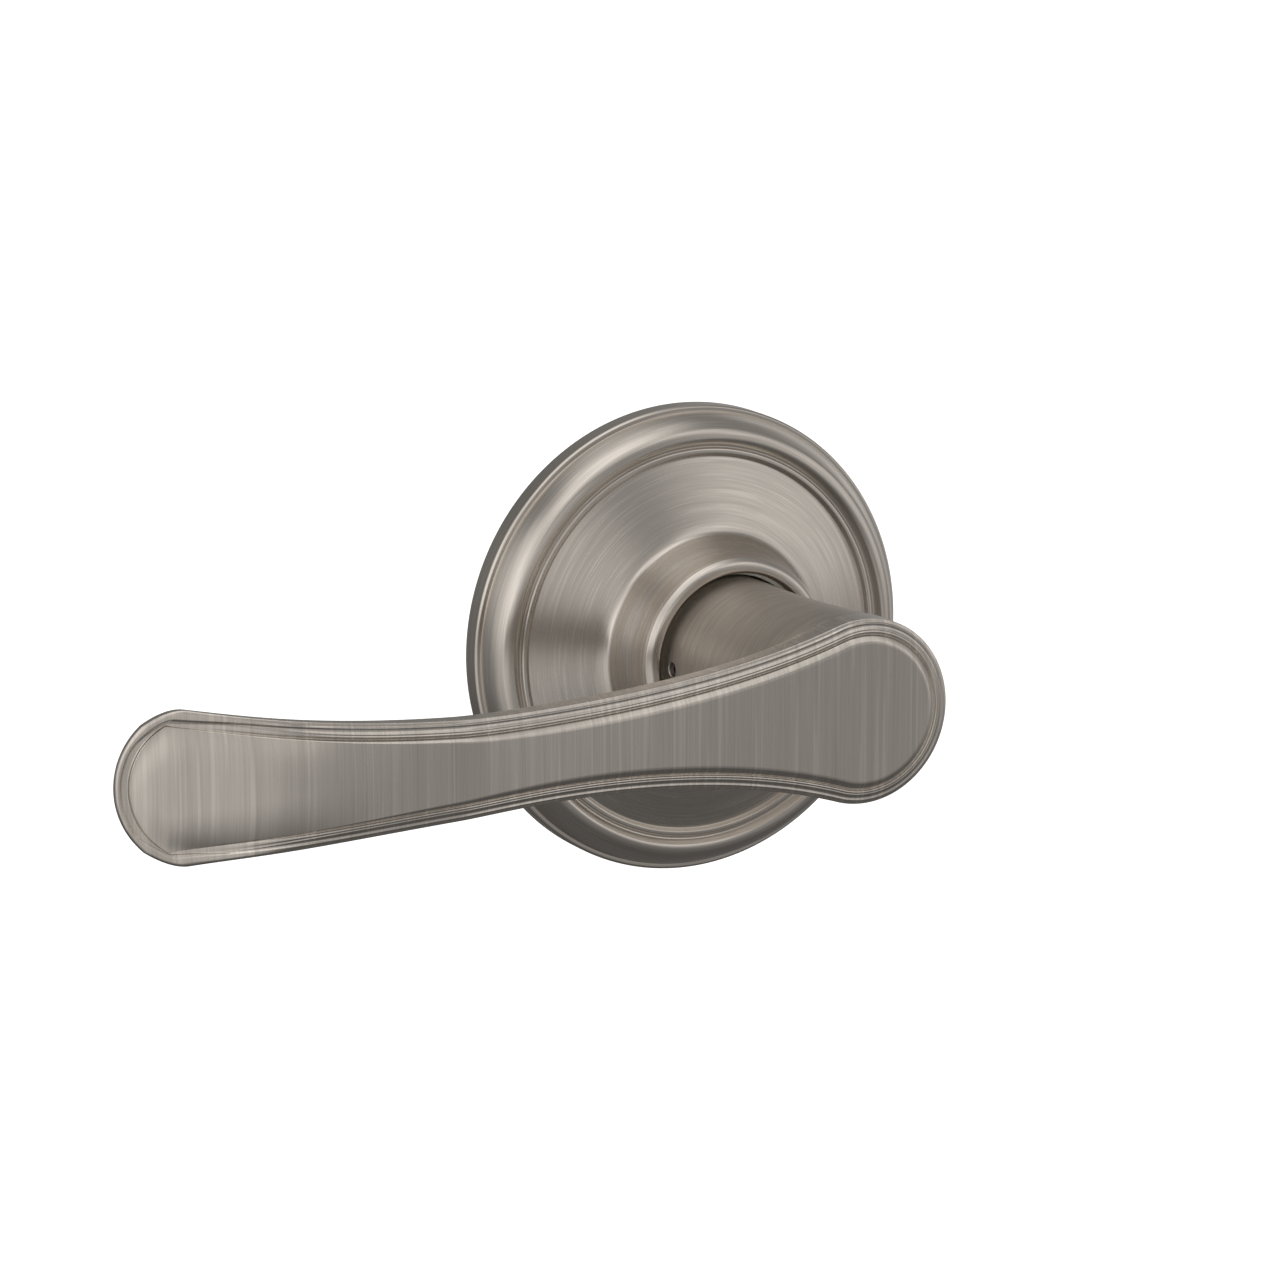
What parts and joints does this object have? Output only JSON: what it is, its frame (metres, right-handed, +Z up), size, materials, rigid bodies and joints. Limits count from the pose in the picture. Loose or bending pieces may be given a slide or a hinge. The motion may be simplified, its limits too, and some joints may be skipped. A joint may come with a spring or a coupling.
{
  "type": "door lever handle",
  "caption": "Door lever handle on a round moulded rosette, with a spring-returned spindle, release catch and threaded posts.",
  "frame": {"origin": "Where the spindle axis crosses the face of the door, at the middle of the rosette's back.", "axes": "+Z is up. The spindle axis is Y: -Y points from the door to the hand and +Y into the door. The arm points along -X."},
  "size_m": [0.1414, 0.111, 0.068],
  "materials": {
    "satin_nickel": "satin nickel plate with fine brush marks",
    "zinc_plated_steel": "clear zinc plate",
    "steel": "plain machined steel",
    "spring_steel": "oiled spring steel",
    "cast_zinc": "grey as-cast zinc",
    "nylon": "natural moulded nylon",
    "black_nylon": "black moulded nylon"
  },
  "bodies": {
    "mounting": {"rosette_cover": "satin_nickel", "neck_bushing": "nylon", "spring_cage": "zinc_plated_steel", "return_spring": "spring_steel", "mounting_plate": "cast_zinc", "mounting_post_left": "zinc_plated_steel", "mounting_post_right": "zinc_plated_steel", "cage_screw_1": "steel", "cage_screw_2": "steel", "cage_screw_3": "steel", "rose_clip_1": "spring_steel", "rose_clip_2": "spring_steel", "rose_clip_3": "spring_steel", "clip_rivet_1": "steel", "clip_rivet_2": "steel", "clip_rivet_3": "steel", "thrust_washer": "nylon"},
    "lever": {"lever_handle": "satin_nickel", "spindle_sleeve": "zinc_plated_steel", "spindle": "steel", "spindle_pin": "spring_steel", "catch_carrier": "black_nylon", "catch_spring": "spring_steel", "driver_cam": "steel", "wave_washer": "spring_steel", "snap_ring": "spring_steel"},
    "catch": {"lever_catch": "spring_steel"}
  },
  "joints": [
    {"name": "lever_turn", "type": "hinge", "parent": "mounting", "child": "lever", "pos_m": [0, 0, 0], "axis": [0, 1, 0], "range_deg": [-50, 50], "stiffness_Nm_per_rad": 2.5, "springref_deg": 2.86, "deforming": ["return_spring"]},
    {"name": "catch_press", "type": "slide", "parent": "lever", "child": "catch", "axis": [1, 0, 0], "range_m": [0, 0.0014], "stiffness_N_per_m": 400, "springref_m": -0.004, "deforming": ["catch_spring"]}
  ]
}
